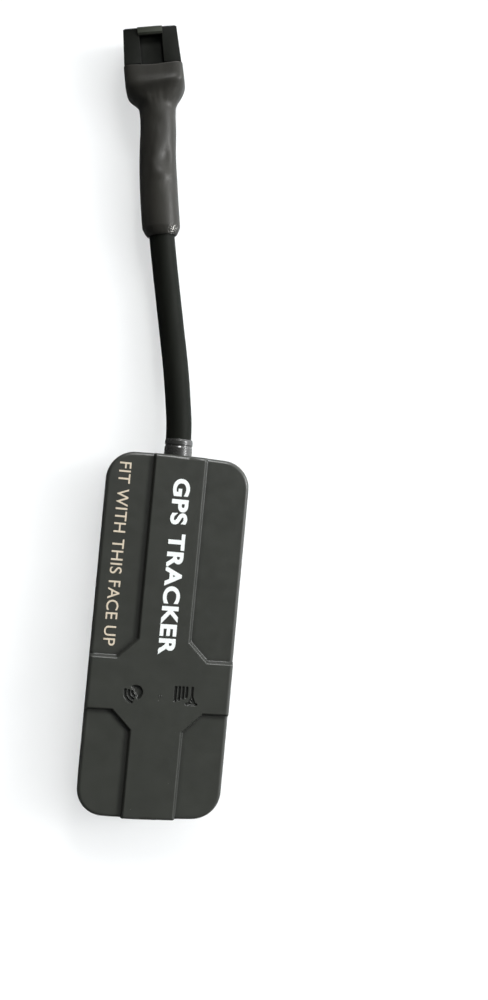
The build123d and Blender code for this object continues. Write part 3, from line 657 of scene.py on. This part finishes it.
FLOOR_HALF = 3000
FLOOR_Z = -0.02
FLOOR_PALE = ((0.86, 0.87, 0.87, 1), (0.9, 0.91, 0.91, 1))
BACKDROP_RADIUS = 3.5
BACKDROP_FOOT = -0.6
BACKDROP_PALE = ((0.9, 0.92, 0.93, 1), (0.95, 0.96, 0.97, 1))
RIGHT_LIGHT = (1.0, 0.3, 0.62)
FAR_LIGHT = (0.1, 1.0, 0.75)
FLOOR_LIGHT = (0.2, 0.2, 1.0)
LIGHT_SPREAD = radians(14)
BRIGHT_SIDE = (1.0, 0.6, 0.0)
SURROUND_COLOUR = (0.96, 0.98, 1.0, 1)
CAMERA_PLACE = Vector((-18.2, 30.0, 217.4))
CAMERA_AIM = Vector((17.3, 33.1, 0.0))
CAMERA_UP = Vector((-0.0934, 0.9956, 0.0))
CAMERA_LENS = 32.4


def floor_plane():
    """A pale matt floor, which the object's gloss doesn't mirror."""
    h = FLOOR_HALF
    corners = [(-h, -h, FLOOR_Z), (h, -h, FLOOR_Z), (h, h, FLOOR_Z), (-h, h, FLOOR_Z)]
    mesh = mesh_from("floor", corners, [(0, 1, 2, 3)], False)
    s = Shader("floor")
    mesh.materials.append(s.finish(Base_Color=s.mix(s.span(s.noise(40.0), 0, 1), *FLOOR_PALE), Roughness=0.9))
    ground = bpy.data.objects.new("floor", mesh)
    bpy.context.scene.collection.objects.link(ground)
    ground.visible_glossy = False
    return ground


def backdrop():
    """A pale dome behind the low views, which lights nothing and casts no shadow."""
    work = bmesh.new()
    bmesh.ops.create_uvsphere(work, u_segments=64, v_segments=32, radius=BACKDROP_RADIUS)
    bmesh.ops.delete(work, geom=[v for v in work.verts if v.co.z < BACKDROP_FOOT], context="VERTS")
    mesh = bpy.data.meshes.new("backdrop")
    work.to_mesh(mesh)
    work.free()
    s = Shader("backdrop")
    glow = s.mix(s.span(s.noise(900.0), 0, 1), *BACKDROP_PALE)
    black = (0, 0, 0, 1)
    mesh.materials.append(
        s.finish(Base_Color=black, Specular_IOR_Level=0.0, Emission_Color=glow, Emission_Strength=1.0)
    )
    dome = bpy.data.objects.new("backdrop", mesh)
    dome.visible_diffuse = dome.visible_glossy = dome.visible_shadow = False
    bpy.context.scene.collection.objects.link(dome)


def lights(ground):
    """Soft lights from the right and the far side, weak on the floor, which also has a shadowless one."""
    only_floor = bpy.data.collections.new("only_floor")
    only_floor.objects.link(ground)
    all_but_floor = bpy.data.collections.new("all_but_floor")
    all_but_floor.objects.link(ground)
    all_but_floor.collection_objects[0].light_linking.link_state = "EXCLUDE"
    for name, source, strength, lit, casts in (
        ("right", RIGHT_LIGHT, 0.6, None, True),
        ("right_on_object", RIGHT_LIGHT, 2.0, all_but_floor, True),
        ("far", FAR_LIGHT, 0.5, None, True),
        ("far_on_object", FAR_LIGHT, 1.6, all_but_floor, True),
        ("floor_light", FLOOR_LIGHT, 2.2, only_floor, False),
    ):
        light = bpy.data.lights.new(name, "SUN")
        light.energy = strength
        light.angle = LIGHT_SPREAD
        light.use_shadow = casts
        lamp = bpy.data.objects.new(name, light)
        lamp.rotation_euler = Vector(source).to_track_quat("Z", "Y").to_euler()
        lamp.light_linking.receiver_collection = lit
        bpy.context.scene.collection.objects.link(lamp)


def surround():
    """A world that fades from bright on the right and the far side to dark on the left."""
    world = bpy.data.worlds.new("surround")
    world.use_nodes = True
    tree = world.node_tree
    background = tree.nodes["Background"]
    background.inputs["Color"].default_value = SURROUND_COLOUR
    direction = tree.nodes.new("ShaderNodeTexCoord")
    along = tree.nodes.new("ShaderNodeVectorMath")
    along.operation = "DOT_PRODUCT"
    along.inputs[1].default_value = Vector(BRIGHT_SIDE).normalized()
    tree.links.new(direction.outputs["Generated"], along.inputs[0])
    fade = tree.nodes.new("ShaderNodeMapRange")
    fade.interpolation_type = "SMOOTHSTEP"
    fade.inputs["From Min"].default_value = 0.05
    fade.inputs["To Min"].default_value = 0.08
    fade.inputs["To Max"].default_value = 1.8
    tree.links.new(along.outputs["Value"], fade.inputs["Value"])
    tree.links.new(fade.outputs["Result"], background.inputs["Strength"])
    bpy.context.scene.world = world
    bpy.context.scene.view_settings.view_transform = "Standard"


def camera():
    """A hand-held view from above the case, turned a little against it."""
    back = (CAMERA_PLACE - CAMERA_AIM).normalized()
    right = CAMERA_UP.cross(back).normalized()
    turn = Matrix((right, back.cross(right), back)).transposed()
    data = bpy.data.cameras.new("camera")
    data.lens = CAMERA_LENS
    data.sensor_width = 36.0
    data.clip_start = 0.01
    holder = bpy.data.objects.new("camera", data)
    holder.matrix_world = Matrix.Translation(CAMERA_PLACE * MM) @ turn.to_4x4()
    bpy.context.scene.collection.objects.link(holder)
    bpy.context.scene.camera = holder


finish_cad_nodes()
camera()
lights(floor_plane())
backdrop()
surround()
cord = cable()
shrink = sleeve()
housing = connector_body()
white_ink = ink("white_ink", (0.86, 0.9, 0.88))
cream_ink = ink("cream_ink", (0.62, 0.54, 0.42))
printed_line(
    "print_large", "GPS TRACKER", white_ink, start=(0.7, 36.4), length=40.3, cap_height=3.9,
    surface_z=CROSS_TOP, weight=0.04, spacing=1.12,
)
printed_line(
    "print_small", "FIT WITH THIS FACE UP", cream_ink, start=(-12.4, 39.0), length=41.8, cap_height=2.7,
    surface_z=PANEL_TOP, weight=0.004, spacing=1.05,
)
gate_mark()
